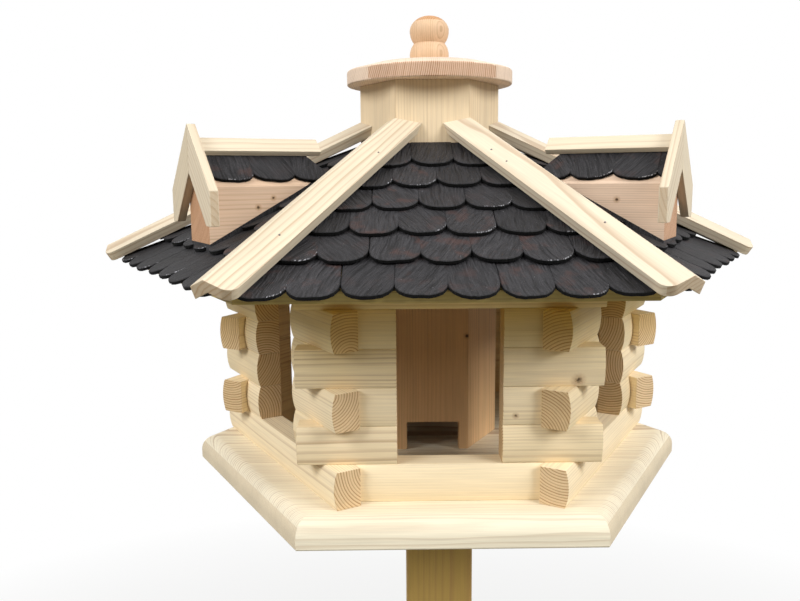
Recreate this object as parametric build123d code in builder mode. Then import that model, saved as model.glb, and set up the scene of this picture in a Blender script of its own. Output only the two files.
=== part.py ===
from build123d import *
import os
from math import asin, atan, cos, radians, sin, sqrt, tan

os.makedirs("parts", exist_ok=True)

# post and base, all sizes in mm, ground at height 0
post_side = 70
post_height = 1200
post_ease = 2
base_corner = 257
base_thick = 25.8
base_round = 16
base_ease = 2

# log walls: distance of the crowned face from the middle, and one strip's section
wall_face = 187
log_thick = 25.5
log_height = 33.5
log_crown = 3
log_courses = 6
opening_width = 89.3
front_log_reach = 130
back_log_reach = 131
side_log_near = 128.5
side_log_far = 138.9

# silo, roof and lid are set this far off the middle of the post, the base and the walls
upper_shift_x = -7.8
upper_shift_y = 8.3

# feed silo, which is also the chimney
silo_corner = 71.3
silo_board = 12
silo_height = 367
slot_width = 52.6
slot_height = 28.5

# main roof, measured along the top of the hip battens
roof_top = 357.2
hip_reach = 340.7
hip_drop = 124.6
batten_thick = 10
batten_wing = 24.5
narrow_wing = 16
batten_fold = 24
batten_round = 10
shingle_thick = 5
shingle_lap = 4
board_thick = 8
eave_reach = 289.5
shingle_overhang = 20
first_course = 39
course_reach = 34
shingle_courses = 6
corner_cut = 322

# dormers on two of the roof's faces, heights taken from the top of their ridge battens
dormer_face = 245
dormer_back = 131
dormer_width = 56
dormer_top = 337.4
ridge_batten_end = 129
ridge_batten_wing = 17
ridge_batten_thick = 6
dormer_shingle_drop = 7
dormer_eave = 29
barge_rise = 12
barge_depth = 43
barge_span = 58
barge_plumb_cut = 30
barge_thick = 8
ridge_gap = 0.4

# lid and knob
lid_radius = 84.3
lid_rim = 13.8
lid_rise = 7
lid_top_radius = 58
lid_gap = 1
plug_inset = 6
plug_depth = 14
knob_radius = 19.9
knob_foot_radius = 17.2
knob_neck_radius = 15.7
knob_cap_radius = 12
knob_foot_height = 21.2
knob_ball_height = 27.3
knob_cap_height = 3.2
knob_turn = 5

# heights and distances that follow from the sizes above
floor = post_height + base_thick
silo_face = silo_corner * cos(radians(30))
silo_inner = silo_face - silo_board
dormer_ridge = dormer_top - ridge_batten_thick * sqrt(2)
barge_apex = dormer_top + barge_rise
barge_foot = barge_apex - barge_span - barge_plumb_cut
log_back = wall_face - log_thick
hip_start = silo_corner
roof_slope = hip_drop / ((hip_reach - hip_start) * cos(radians(30)))
roof_angle = atan(roof_slope)
side_tan = tan(radians(30))
# the battens are folded more than the roof, so their wings' outer edges rest on the shingles
batten_tilt = radians(batten_fold) - asin(sin(roof_angle) * sin(radians(30)))
shingle_under = batten_thick * cos(batten_tilt) + batten_wing * sin(batten_tilt)
board_top = shingle_under + shingle_thick + shingle_lap
board_under = board_top + board_thick


def side_plane(azimuth, height):
    # level plane whose X runs straight out of one of the six sides
    out = (cos(radians(azimuth)), sin(radians(azimuth)), 0)
    return Plane(origin=(0, 0, height), x_dir=out, z_dir=(0, 0, 1))


def section_plane(azimuth):
    # upright plane through the axis, X straight out and Y up, with Y = 0 at the base's underside
    out = (cos(radians(azimuth)), sin(radians(azimuth)), 0)
    across = (sin(radians(azimuth)), -cos(radians(azimuth)), 0)
    return Plane(origin=(0, 0, post_height), x_dir=out, z_dir=across)


def roof_line(reach, depth):
    # height over the base's underside of a plane that lies depth under the battens' top
    return roof_top - depth / cos(roof_angle) - roof_slope * (reach - silo_face)


def save_upper(part, name):
    # pieces of the silo, the roof and the lid are drawn round the post's middle and moved here
    moved = part.moved(Location((upper_shift_x, upper_shift_y, 0)))
    moved.label = name
    export_step(moved, "parts/" + name + ".step")


# post
with BuildPart() as post:
    with BuildSketch(Plane.XY):
        Rectangle(post_side, post_side)
    extrude(amount=post_height)
    chamfer(post.edges().filter_by(Axis.Z), length=post_ease)
post.part.label = "post"
export_step(post.part, "parts/post.step")

# base board
with BuildPart() as base_board:
    with BuildSketch(Plane.XY.offset(post_height)):
        RegularPolygon(radius=base_corner, side_count=6)
    extrude(amount=base_thick)
    fillet(base_board.faces().sort_by(Axis.Z)[-1].edges(), radius=base_round)
    fillet(base_board.faces().sort_by(Axis.Z)[0].edges(), radius=base_ease)
base_board.part.label = "base_board"
export_step(base_board.part, "parts/base_board.step")

# space under the roof boards, which the bevelled plates on the walls reach up to
with BuildPart() as attic:
    for reach in (eave_reach, silo_face):
        attic_middle = (upper_shift_x, upper_shift_y, post_height + roof_line(reach, board_under))
        with BuildSketch(Plane(origin=attic_middle)):
            RegularPolygon(radius=reach / cos(radians(30)), side_count=6)
    loft(ruled=True)

# log walls: sides with the long odd courses, then those with the long even ones
odd_long_sides = [("front_left_wall", 210), ("front_right_wall", 330), ("back_wall", 90)]
even_long_sides = [("front_wall", 270), ("back_left_wall", 150), ("back_right_wall", 30)]
wall_sides = [(name, azimuth, 1) for name, azimuth in odd_long_sides]
wall_sides += [(name, azimuth, 0) for name, azimuth in even_long_sides]
log_ends = {
    "front_wall": (front_log_reach, front_log_reach),
    "back_left_wall": (back_log_reach, back_log_reach),
    "back_right_wall": (back_log_reach, back_log_reach),
    "front_left_wall": (side_log_far, side_log_near),
    "front_right_wall": (side_log_near, side_log_far),
    "back_wall": (side_log_far, side_log_far),
}

for wall_name, azimuth, long_courses in wall_sides:
    for lowest, kind in ((0, "odd_logs"), (1, "even_logs")):
        is_long = (lowest == 0) == (long_courses == 1)
        low_end, high_end = log_ends[wall_name]
        with BuildPart() as logs:
            # crowned strips, one for each course
            for course in range(lowest, log_courses, 2):
                low = base_thick + course * log_height
                high = low + log_height
                edge = wall_face - log_crown
                middle = low + log_height / 2
                with BuildSketch(section_plane(azimuth)):
                    with BuildLine():
                        Polyline((edge, low), (log_back, low), (log_back, high), (edge, high))
                        ThreePointArc((edge, high), (wall_face, middle), (edge, low))
                    make_face()
                extrude(amount=wall_face, both=True)
            # square ends past the corners, or slanted ends that butt on the neighbours' backs
            butt_near = (log_back - log_back / 2) / cos(radians(30))
            butt_far = (log_back - wall_face / 2) / cos(radians(30))
            with BuildSketch(side_plane(azimuth, floor)):
                if is_long:
                    with Locations((log_back, (high_end - low_end) / 2)):
                        Rectangle(log_thick, low_end + high_end, align=(Align.MIN, Align.CENTER))
                else:
                    Polygon(
                        (log_back, -butt_near),
                        (wall_face, -butt_far),
                        (wall_face, butt_far),
                        (log_back, butt_near),
                        align=None,
                    )
            extrude(amount=log_courses * log_height, mode=Mode.INTERSECT)
            # opening between the sill course and the top course
            with BuildSketch(side_plane(azimuth, floor + log_height)):
                with Locations((wall_face - log_thick / 2, 0)):
                    Rectangle(2 * log_thick, opening_width)
            extrude(amount=(log_courses - 2) * log_height, mode=Mode.SUBTRACT)
        wall_part = logs.part
        if kind == "odd_logs":
            # bevelled plate on the top course, which carries the roof boards
            plate_low = floor + log_courses * log_height
            plate_face = wall_face - log_crown
            with BuildPart() as plate:
                with BuildSketch(side_plane(azimuth, plate_low)):
                    Polygon(
                        (log_back, -log_back * side_tan),
                        (plate_face, -plate_face * side_tan),
                        (plate_face, plate_face * side_tan),
                        (log_back, log_back * side_tan),
                        align=None,
                    )
                extrude(amount=roof_top)
                add(attic.part, mode=Mode.INTERSECT)
            wall_part = Compound(children=logs.part.solids() + plate.part.solids())
        node_name = wall_name + "_" + kind
        wall_part.label = node_name
        export_step(wall_part, "parts/" + node_name + ".step")

# silo boards, mitred at the six corners, with a feed slot at the foot of every other one
silo_sides = [
    ("silo_board_front", 270, True),
    ("silo_board_front_right", 330, False),
    ("silo_board_back_right", 30, True),
    ("silo_board_back", 90, False),
    ("silo_board_back_left", 150, True),
    ("silo_board_front_left", 210, False),
]
for board_name, azimuth, has_slot in silo_sides:
    with BuildPart() as silo:
        with BuildSketch(side_plane(azimuth, floor)):
            Polygon(
                (silo_inner, -silo_inner * side_tan),
                (silo_face, -silo_face * side_tan),
                (silo_face, silo_face * side_tan),
                (silo_inner, silo_inner * side_tan),
                align=None,
            )
        extrude(amount=silo_height)
        if has_slot:
            with BuildSketch(side_plane(azimuth, floor)):
                with Locations((silo_face - silo_board / 2, 0)):
                    Rectangle(2 * silo_board, slot_width)
            extrude(amount=slot_height, mode=Mode.SUBTRACT)
    save_upper(silo.part, board_name)

# outer prism of the silo, cut out of whatever meets the chimney
with BuildPart() as silo_core:
    with BuildSketch(Plane.XY.offset(floor)):
        RegularPolygon(radius=silo_corner, side_count=6)
    extrude(amount=silo_height)

# room kept free for the lid, in case the chimney is made shorter
with BuildPart() as lid_room:
    with BuildSketch(Plane.XY.offset(floor + silo_height - lid_gap)):
        Circle(lid_radius + lid_gap)
    extrude(amount=lid_gap + lid_rim + lid_rise)

# hip battens: a wide and a narrow wing that meet along the hip, the wide one rounded at the eave
hip_length = sqrt((hip_reach - hip_start) ** 2 + hip_drop**2)
wide_out = batten_wing * cos(radians(batten_fold))
wide_down = batten_wing * sin(radians(batten_fold))
narrow_out = narrow_wing * cos(radians(batten_fold))
narrow_down = narrow_wing * sin(radians(batten_fold))
fold_down = batten_thick / cos(radians(batten_fold))
thick_in = batten_thick * sin(radians(batten_fold))
thick_down = batten_thick * cos(radians(batten_fold))
hip_sides = [
    ("hip_batten_right", 0, -1),
    ("hip_batten_back_right", 60, 1),
    ("hip_batten_back_left", 120, -1),
    ("hip_batten_left", 180, 1),
    ("hip_batten_front_left", 240, 1),
    ("hip_batten_front_right", 300, -1),
]
for batten_name, azimuth, wide_side in hip_sides:
    out = Vector(cos(radians(azimuth)), sin(radians(azimuth)), 0)
    wide = Vector(-sin(radians(azimuth)), cos(radians(azimuth)), 0) * wide_side
    along = (out * (hip_reach - hip_start) - Vector(0, 0, hip_drop)).normalized()
    crest = along.cross(wide) * wide_side
    hip_point = out * hip_start + Vector(0, 0, post_height + roof_top)
    hip_foot = hip_point + along * hip_length
    with BuildPart() as batten:
        with BuildSketch(Plane(origin=hip_foot, x_dir=wide, z_dir=along * wide_side)):
            Polygon(
                (0, 0),
                (wide_out, -wide_down),
                (wide_out - thick_in, -wide_down - thick_down),
                (0, -fold_down),
                (-narrow_out, -narrow_down - fold_down),
                (-narrow_out, -narrow_down),
                align=None,
            )
        # up the hip and into the chimney, whose corner is cut out of the batten below
        extrude(amount=-wide_side * (hip_length + batten_wing))
        outer_corner = hip_foot + wide * (wide_out - thick_in / 2) - crest * (wide_down + thick_down / 2)
        fillet(batten.edges().sort_by_distance(outer_corner)[0], radius=batten_round)
        add(silo_core.part, mode=Mode.SUBTRACT)
        add(lid_room.part, mode=Mode.SUBTRACT)
    save_upper(batten.part, batten_name)

# dormers
dormer_names = {210: "dormer_left", 330: "dormer_right"}
dormer_cuts = {}
for azimuth, dormer_name in dormer_names.items():
    cross_plane = Plane(
        origin=(0, 0, post_height),
        x_dir=(-sin(radians(azimuth)), cos(radians(azimuth)), 0),
        z_dir=(cos(radians(azimuth)), sin(radians(azimuth)), 0),
    )
    half = dormer_width / 2
    body_ridge = dormer_ridge - dormer_shingle_drop
    low = roof_line(dormer_face, board_top)
    # wedge under the roof boards' top, taken off whatever stands on them
    with BuildPart() as under_roof:
        with BuildSketch(section_plane(azimuth)):
            Polygon(
                (0, roof_line(0, board_top)),
                (eave_reach, roof_line(eave_reach, board_top)),
                (eave_reach, 0),
                (0, 0),
                align=None,
            )
        extrude(amount=base_corner, both=True)
    with BuildPart() as block:
        with BuildSketch(cross_plane.offset(dormer_back)):
            Polygon(
                (-half, low),
                (half, low),
                (half, body_ridge - half),
                (0, body_ridge),
                (-half, body_ridge - half),
                align=None,
            )
        extrude(amount=dormer_face - dormer_back)
        add(under_roof.part, mode=Mode.SUBTRACT)
    save_upper(block.part, dormer_name + "_block")
    with BuildPart() as slopes:
        for side in (-1, 1):
            with BuildSketch(cross_plane.offset(dormer_back)):
                Polygon(
                    (side * ridge_gap, body_ridge - ridge_gap),
                    (side * ridge_gap, dormer_ridge - ridge_gap),
                    (side * dormer_eave, dormer_ridge - dormer_eave),
                    (
                        side * (dormer_eave - dormer_shingle_drop / 2),
                        dormer_ridge - dormer_eave - dormer_shingle_drop / 2,
                    ),
                    align=None,
                )
            extrude(amount=dormer_face - dormer_back)
        add(under_roof.part, mode=Mode.SUBTRACT)
    save_upper(slopes.part, dormer_name + "_shingles")
    dormer_cuts[azimuth] = [block.part, slopes.part]
    with BuildPart() as barge:
        for side in (-1, 1):
            with BuildSketch(cross_plane.offset(dormer_face)):
                Polygon(
                    (side * ridge_gap / 2, barge_apex - ridge_gap / 2),
                    (side * barge_span, barge_apex - barge_span),
                    (side * barge_span, barge_foot),
                    (side * (barge_apex - barge_depth - barge_foot), barge_foot),
                    (side * ridge_gap / 2, barge_apex - barge_depth - ridge_gap / 2),
                    align=None,
                )
            extrude(amount=barge_thick)
    save_upper(barge.part, dormer_name + "_barge_boards")
    wing_x = ridge_batten_wing * sin(radians(45))
    thick_x = ridge_batten_thick * sin(radians(45))
    with BuildPart() as ridge:
        with BuildSketch(cross_plane.offset(ridge_batten_end)):
            Polygon(
                (0, dormer_top),
                (wing_x, dormer_top - wing_x),
                (wing_x - thick_x, dormer_top - wing_x - thick_x),
                (0, dormer_top - 2 * thick_x),
                (thick_x - wing_x, dormer_top - wing_x - thick_x),
                (-wing_x, dormer_top - wing_x),
                align=None,
            )
        extrude(amount=dormer_face - ridge_batten_end)
    save_upper(ridge.part, dormer_name + "_ridge_batten")

# roof panels: board with stepped shingle courses, mitred along the hips
roof_sides = [
    ("roof_front", 270),
    ("roof_front_right", 330),
    ("roof_back_right", 30),
    ("roof_back", 90),
    ("roof_back_left", 150),
    ("roof_front_left", 210),
]
board_end = eave_reach - shingle_overhang
for panel_name, azimuth in roof_sides:
    with BuildPart() as panel:
        points = [
            (0, roof_line(0, board_under)),
            (board_end, roof_line(board_end, board_under)),
            (board_end, roof_line(board_end, board_top)),
            (eave_reach, roof_line(eave_reach, board_top)),
        ]
        # each course falls from its tip by one lap over a course's reach
        tip = eave_reach
        for course in range(shingle_courses):
            reach = first_course if course == 0 else course_reach
            if course == shingle_courses - 1:
                reach = tip
            fall = shingle_lap * reach / course_reach
            points.append((tip, roof_line(tip, shingle_under)))
            points.append((tip - reach, roof_line(tip - reach, shingle_under + fall)))
            tip = tip - reach
        with BuildSketch(section_plane(azimuth)):
            Polygon(*points, align=None)
        extrude(amount=base_corner, both=True)
        cut_along = corner_cut * sin(radians(30))
        cut_out = corner_cut * cos(radians(30))
        cut_back = (eave_reach - cut_out) / side_tan
        with BuildSketch(side_plane(azimuth, post_height)):
            Polygon(
                (silo_face, -silo_face * side_tan),
                (cut_out, -cut_along),
                (eave_reach, cut_back - cut_along),
                (eave_reach, cut_along - cut_back),
                (cut_out, cut_along),
                (silo_face, silo_face * side_tan),
                align=None,
            )
        extrude(amount=roof_top, mode=Mode.INTERSECT)
        if azimuth in dormer_cuts:
            for piece in dormer_cuts[azimuth]:
                add(piece, mode=Mode.SUBTRACT)
    save_upper(panel.part, panel_name)

# lid: round board with a sloped shoulder
lid_low = floor + silo_height
with BuildPart() as lid:
    with BuildSketch(Plane.XZ):
        Polygon(
            (0, lid_low),
            (lid_radius, lid_low),
            (lid_radius, lid_low + lid_rim),
            (lid_top_radius, lid_low + lid_rim + lid_rise),
            (0, lid_low + lid_rim + lid_rise),
            align=None,
        )
    revolve(axis=Axis.Z)
save_upper(lid.part, "lid")

# plug under the lid, loose in the silo
with BuildPart() as lid_plug:
    with BuildSketch(Plane.XY.offset(lid_low - plug_depth)):
        Circle(silo_inner - plug_inset)
    extrude(amount=plug_depth)
save_upper(lid_plug.part, "lid_plug")

# turned knob: a foot bead and a taller bead with a low cap
knob_low = lid_low + lid_rim + lid_rise
knob_neck = knob_low + knob_foot_height
with BuildPart() as knob:
    with BuildSketch(Plane.XZ):
        Polygon(
            (0, knob_low),
            (knob_foot_radius, knob_low),
            (knob_radius - knob_turn / 3, knob_low + knob_turn / 2),
            (knob_radius, knob_low + knob_foot_height * 0.45),
            (knob_radius - knob_turn / 3, knob_neck - knob_turn),
            (knob_neck_radius, knob_neck),
            (knob_radius - knob_turn / 3, knob_neck + knob_turn),
            (knob_radius, knob_neck + knob_ball_height * 0.42),
            (knob_radius - knob_turn / 3, knob_neck + knob_ball_height - 2 * knob_turn),
            (knob_cap_radius, knob_neck + knob_ball_height - knob_cap_height),
            (0, knob_neck + knob_ball_height),
            align=None,
        )
    revolve(axis=Axis.Z)
save_upper(knob.part, "knob")
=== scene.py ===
import random
from math import atan, cos, pi, radians, sin, sqrt, tan

import bmesh
import bpy
from bpy.props import FloatProperty, FloatVectorProperty, IntProperty, PointerProperty
from bpy.types import Operator, Panel, PropertyGroup
from mathutils import Matrix, Vector


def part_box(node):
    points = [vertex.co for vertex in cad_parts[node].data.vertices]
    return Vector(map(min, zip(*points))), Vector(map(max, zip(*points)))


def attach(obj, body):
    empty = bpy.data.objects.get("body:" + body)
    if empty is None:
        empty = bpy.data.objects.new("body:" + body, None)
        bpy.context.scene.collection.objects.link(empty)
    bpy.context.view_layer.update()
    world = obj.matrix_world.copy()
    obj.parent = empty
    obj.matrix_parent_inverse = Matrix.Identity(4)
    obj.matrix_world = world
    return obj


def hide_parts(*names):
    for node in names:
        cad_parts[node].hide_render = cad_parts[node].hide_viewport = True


bl_info = {
    "name": "Six-Sided Bird Feeder",
    "version": (1, 0, 0),
    "blender": (4, 5, 0),
    "location": "3D View > Sidebar > Feeder",
    "description": "Dresses the construction model of a log bird feeder in timber and shingles",
    "category": "Add Mesh",
}

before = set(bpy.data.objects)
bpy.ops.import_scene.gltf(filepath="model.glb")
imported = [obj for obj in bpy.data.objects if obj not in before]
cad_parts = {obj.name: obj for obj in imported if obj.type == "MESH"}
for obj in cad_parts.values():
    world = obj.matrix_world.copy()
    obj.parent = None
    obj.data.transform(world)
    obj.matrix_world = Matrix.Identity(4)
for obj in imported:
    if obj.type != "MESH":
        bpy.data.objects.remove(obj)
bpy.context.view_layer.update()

UP = Vector((0, 0, 1))
TO_RIGHT = Vector((1, 0, 0))
TO_BACK = Vector((0, 1, 0))

WHITE = (1, 1, 1, 1)

# bodies, and the directions that the sides, the hips and the dormers face, in degrees from X towards Y
STAND = "feeder"
LIFTED = "lid_and_knob"
SIDES = dict(front=270, front_right=330, back_right=30, back=90, back_left=150, front_left=210)
HIPS = dict(right=0, back_right=60, back_left=120, left=180, front_left=240, front_right=300)
DORMERS = dict(dormer_left=210, dormer_right=330)
HALF_SIDE = radians(30)

# nails in the wide wings: the wing's hand, then each nail's distance from the axis and from the crest
NAILS = {
    "front_left": (1, ((0.1318, 0.017), (0.2725, 0.0139))),
    "front_right": (-1, ((0.1285, 0.0161), (0.1513, 0.0166), (0.2624, 0.0084))),
    "back_right": (1, ((0.134, 0.0152), (0.268, 0.0128))),
    "back_left": (-1, ((0.1312, 0.0138), (0.2705, 0.0161))),
}

# how far behind the gable the shingles of each dormer begin
DORMER_STARTS = dict(dormer_left=0.0047, dormer_right=0.0088)

# how far each row of shingles lies to the right of its even place, from the lowest row up
ROW_SHIFTS = (0.0003, 0.0018, 0.0047, 0.0027, 0.0001, -0.0027)

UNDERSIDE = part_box("base_board")[0].z
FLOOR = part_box("base_board")[1].z
WALL_FACE = -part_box("front_wall_odd_logs")[0].y

# upright axis of the silo, the roof and the lid, which stands a little off the middle of the post
knob_low, knob_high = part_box("knob")
AXIS = Vector(((knob_low.x + knob_high.x) / 2, (knob_low.y + knob_high.y) / 2, 0))


def points(node):
    """The corners of a node's mesh, from the silo's axis."""
    return [v.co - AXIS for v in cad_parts[node].data.vertices]


# roof planes, read from the hip batten that runs along X and from the front panel's lowest tip
hip_points = points("hip_batten_right")
hip_foot = max(hip_points, key=lambda p: p.x)
hip_head = max(hip_points, key=lambda p: (round(p.z, 5), p.x))
panel_tip = min(points("roof_front"), key=lambda p: (round(p.y, 5), -p.z))
SILO_FACE = AXIS.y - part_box("silo_board_front")[0].y
EAVE = -panel_tip.y
ROOF_SLOPE = (hip_head.z - hip_foot.z) / ((hip_foot.x - hip_head.x) * cos(HALF_SIDE))
ROOF_ANGLE = atan(ROOF_SLOPE)
HIP_DROP = (hip_head.z - hip_foot.z) / (hip_foot.x - hip_head.x)
TIP_DEPTH = (hip_head.z - ROOF_SLOPE * (EAVE - SILO_FACE) - panel_tip.z) * cos(ROOF_ANGLE)


def outward(azimuth):
    """Level direction straight out of a side."""
    return Vector((cos(radians(azimuth)), sin(radians(azimuth)), 0))


def sideways(azimuth):
    """Level direction along a side."""
    return Vector((-sin(radians(azimuth)), cos(radians(azimuth)), 0))


def side_spot(middle, azimuth, out, across, height):
    """A place on a side: out from the middle, along the side, and up from the base board's underside."""
    spot = middle + outward(azimuth) * out + sideways(azimuth) * across
    spot.z = UNDERSIDE + height
    return spot


def roof_height(reach, depth):
    """Height of the plane that lies depth under the tops of the battens, at a distance from the axis."""
    return hip_head.z - depth / cos(ROOF_ANGLE) - ROOF_SLOPE * (reach - SILO_FACE)


def roof_normal(azimuth):
    """Direction straight out of a roof face."""
    return outward(azimuth) * sin(ROOF_ANGLE) + UP * cos(ROOF_ANGLE)


def hip_line(azimuth):
    """Direction down along a hip."""
    return (outward(azimuth) - UP * HIP_DROP).normalized()


def knots(middle, out, *marks):
    """Places and radii of knots on sides, from their azimuth, place along the side, height and radius."""
    return [(side_spot(middle, azimuth, out, *spot), size) for azimuth, *spot, size in marks]


# middle of the post and the walls, and knots and old nail holes by finish
MIDDLE = Vector((0, 0, 0))
BLOCK_HALF = max(p.dot(sideways(210)) for p in points("dormer_left_block"))
KNOTS = {
    "log_pine": knots(
        MIDDLE,
        WALL_FACE,
        (270, 0.1078, 0.1316, 0.0042),
        (270, 0.0552, 0.1016, 0.0021),
        (210, 0.081, 0.146, 0.0042),
        (30, -0.074, 0.112, 0.0038),
        (90, 0.088, 0.171, 0.0042),
        (90, -0.061, 0.082, 0.002),
        (150, -0.092, 0.138, 0.004),
    ),
    "silo_pine": knots(AXIS, SILO_FACE, (270, 0.0342, 0.1435, 0.0024), (90, -0.021, 0.352, 0.0035)),
    "dormer_wood": [
        *knots(AXIS, 0.1996, (210, BLOCK_HALF, 0.2753, 0.0022)),
        *knots(AXIS, 0.185, (210, BLOCK_HALF, 0.2834, 0.002)),
        *knots(AXIS, 0.2026, (330, -BLOCK_HALF, 0.2797, 0.0022)),
    ],
}

# how uneven the shingles are: sag and lean of the foot, ripple of its edge, turn of the grain
SAG = 0.0016
LEAN = 0.0014
RIPPLE = 0.0004
GRAIN_TURN = 0.32

# how much thinner a shingle's top is, width of its bevelled rim, and how far it laps its neighbour
THINNING = 0.55
RIM = 0.0008
OVERLAP = 0.0008

# length of a shingle as a share of what shows of it, and what the top row has to spare at the chimney
LENGTH_SHARE = 1.9
TUCKED_IN = 0.004

# share of the shingles that have painted glints on their rims, and how far up from the foot they reach
GLINTING = 0.35
GLINT_REACH = 0.016

# how the shingles of the roof lie out of line: turn, tilt, and slip across, up the slope and into it
SWAY = 0.013
TILTS = (-0.006, 0.003)
SLIP_ACROSS = 0.0004
SLIPS_UP = (-0.0005, 0.0022)
SLIPS_IN = (-0.0005, 0.0)

# the same for the shingles of the dormers
DORMER_SWAYS = (-0.02, 0.02)
DORMER_SLIPS_UP = (0.0, 0.0012)
DORMER_SLIPS_IN = (-0.0004, 0.0)

# the knob's neck, the middles of its two bulges and their half heights, as shares of its height
KNOB_NECK = 0.4375
KNOB_LOWER = 0.197
KNOB_LOWER_HALF = 0.39
KNOB_UPPER = 0.69
KNOB_UPPER_HALF = 0.41

# where the upper bulge begins, below its widest place, and the rings of points on each bulge
KNOB_TURN = radians(38)
KNOB_RINGS = 12

# fold from which sandpaper eases an edge
EASED_FROM = radians(30)

# depth of the fibres in timber, and of the splits in shingles
FIBRE_DEPTH = 0.00012
SPLIT_DEPTH = 0.0008

# distance below which two places count as the same
TINY = 0.0001


def number_setting(name, description, default, **kind):
    """A number."""
    return FloatProperty(name=name, description=description, default=default, **kind)


def length_setting(name, description, default, **limits):
    """A length, in metres."""
    kind = {"precision": 4, "subtype": "DISTANCE", "unit": "LENGTH"}
    return number_setting(name, description, default, **kind, **limits)


def angle_setting(name, description, default):
    """An angle, in radians."""
    return number_setting(name, description, default, subtype="ANGLE", unit="ROTATION")


def colour_setting(name, description, default):
    """A colour, in linear light."""
    kind = {"subtype": "COLOR", "min": 0, "max": 1}
    return FloatVectorProperty(name=name, description=description, default=default, **kind)


class FeederTimberSettings(PropertyGroup):
    """Colours and growth rings of the timber"""

    ring_spacing: length_setting("Ring Spacing", "Width of one year's growth", 0.0021, min=0.0005)
    edge_radius: length_setting("Eased Edge", "Rounding of the edges of sawn boards", 0.0007, min=0.0001)
    log_colour: colour_setting("Logs", "Pale wood of the wall strips", (0.94, 0.785, 0.53))
    # painted shade: the darker, yellower colour that the logs take towards the eaves stands for the roof's
    # shade
    logs_in_shade_colour: colour_setting(
        "Sheltered Logs", "Honey colour that the logs keep under the eaves", (0.78, 0.60, 0.23)
    )
    base_colour: colour_setting("Base", "Sanded wood of the base board", (0.90, 0.82, 0.64))
    batten_colour: colour_setting("Battens", "Planed wood of battens and barge boards", (0.74, 0.64, 0.48))
    # painted shade: the silo's boards keep the plain colour over the roof and take a darker, yellower one
    # under it
    chimney_colour: colour_setting("Chimney", "Bleached wood of the silo over the roof", (0.92, 0.75, 0.52))
    silo_in_shade_colour: colour_setting("Silo", "Honey colour of the silo under the roof", (0.92, 0.63, 0.37))
    lid_colour: colour_setting("Lid", "Wood of the lid", (0.83, 0.65, 0.50))
    dormer_colour: colour_setting("Dormers", "Reddish wood of the dormer blocks", (0.79, 0.58, 0.42))
    knob_colour: colour_setting("Knob", "Warm turned wood", (0.80, 0.57, 0.38))
    post_colour: colour_setting("Post", "Olive tan wood of the post", (0.53, 0.35, 0.10))
    late_colour: colour_setting("Late Wood", "Dark line that ends each year's growth", (0.36, 0.19, 0.08))


class FeederRoofSettings(PropertyGroup):
    """Sizes and colour of the shingles"""

    shingle_width: length_setting("Shingle Width", "Width of a roof shingle", 0.0392, min=0.01)
    eave_width: length_setting("Eave Width", "Width of a shingle in the lowest row", 0.0384, min=0.01)
    shingle_thick: length_setting("Shingle Thickness", "Thickness at the lower end", 0.0034, min=0.001)
    corner: length_setting("Corner Width", "Width of the rounding of the lower corners", 0.0150, min=0.001)
    corner_stretch: number_setting(
        "Corner Stretch", "Height of a rounded corner as a share of its width", 1.12, min=0.5
    )
    course: length_setting("Course", "Level distance of two rows", 0.034, min=0.01)
    first_course: length_setting("First Course", "Level distance of the two lowest rows", 0.039, min=0.01)
    lap: length_setting("Lap", "How much deeper a shingle lies where the next row covers it", 0.004)
    courses: IntProperty(
        name="Courses", description="Rows of shingles on each of the six faces", default=6, min=1
    )
    colour: colour_setting("Stain", "Black stain on the shingles", (0.028, 0.027, 0.029))


class FeederStageSettings(PropertyGroup):
    """Floor, lamps and camera"""

    sky: number_setting("Sky", "Strength of the light from overhead", 0.86, min=0)
    horizon: number_setting("Horizon", "Strength of the light from the horizon and below", 0.08, min=0)
    key: number_setting(
        "Key Lamp", "Power of the large soft lamp above", 80, min=0, subtype="POWER", unit="POWER"
    )
    fill: number_setting("Fill Lamp", "Share of the left lamp", 0.85, min=0)
    lamp_size: length_setting("Lamp Size", "Width of the two lamps", 1.5, min=0.1)
    plain_until: length_setting("Plain Floor", "Distance to which the floor shows as it is", 1.2)
    white_from: length_setting("White Floor", "Distance from which it shows white, as the background", 2.6)
    floor_colour: colour_setting("Floor", "Plain pale floor", (0.82, 0.82, 0.81))
    ground_colour: colour_setting(
        "Ground", "Colour of the light that the floor throws up", (0.2, 0.19, 0.15)
    )
    lens: number_setting("Lens", "Focal length of the camera, in millimetres", 35.46, min=10)


def place(tree, kind, inputs=None, **settings):
    """A new node with its settings, and its inputs as values or as links."""
    made = tree.nodes.new(kind)
    for name, value in settings.items():
        setattr(made, name, value)
    for name, value in (inputs or {}).items():
        if isinstance(value, bpy.types.NodeSocket):
            tree.links.new(value, made.inputs[name])
        else:
            made.inputs[name].default_value = value
    return made


def maths(tree, operation, *values):
    """An operation on one or two values, or on more of them in turn."""
    result = place(tree, "ShaderNodeMath", dict(enumerate(values[:2])), operation=operation).outputs[0]
    for value in values[2:]:
        result = place(tree, "ShaderNodeMath", {0: result, 1: value}, operation=operation).outputs[0]
    return result


def vector_maths(tree, operation, *vectors):
    """An operation on one or two vectors."""
    return place(tree, "ShaderNodeVectorMath", dict(enumerate(vectors)), operation=operation).outputs


def stretched(tree, vector, factors):
    """The vector with each axis multiplied, so that a noise has its own size along each."""
    return vector_maths(tree, "MULTIPLY", vector, factors)[0]


def noise(tree, vector, scale, detail=2.0, roughness=0.5, output="Fac"):
    """Soft noise between 0 and 1."""
    sizes = {"Vector": vector, "Scale": scale, "Detail": detail, "Roughness": roughness}
    return place(tree, "ShaderNodeTexNoise", sizes).outputs[output]


def spread(tree, value, low, high, to_low=0, to_high=1):
    """Maps a range of values on another, clamped."""
    ends = {"Value": value, "From Min": low, "From Max": high, "To Min": to_low, "To Max": to_high}
    return place(tree, "ShaderNodeMapRange", ends).outputs[0]


def blended(tree, factor, first, second):
    """Mix of two colours."""
    return place(tree, "ShaderNodeMix", {0: factor, 6: first, 7: second}, data_type="RGBA").outputs[2]


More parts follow.
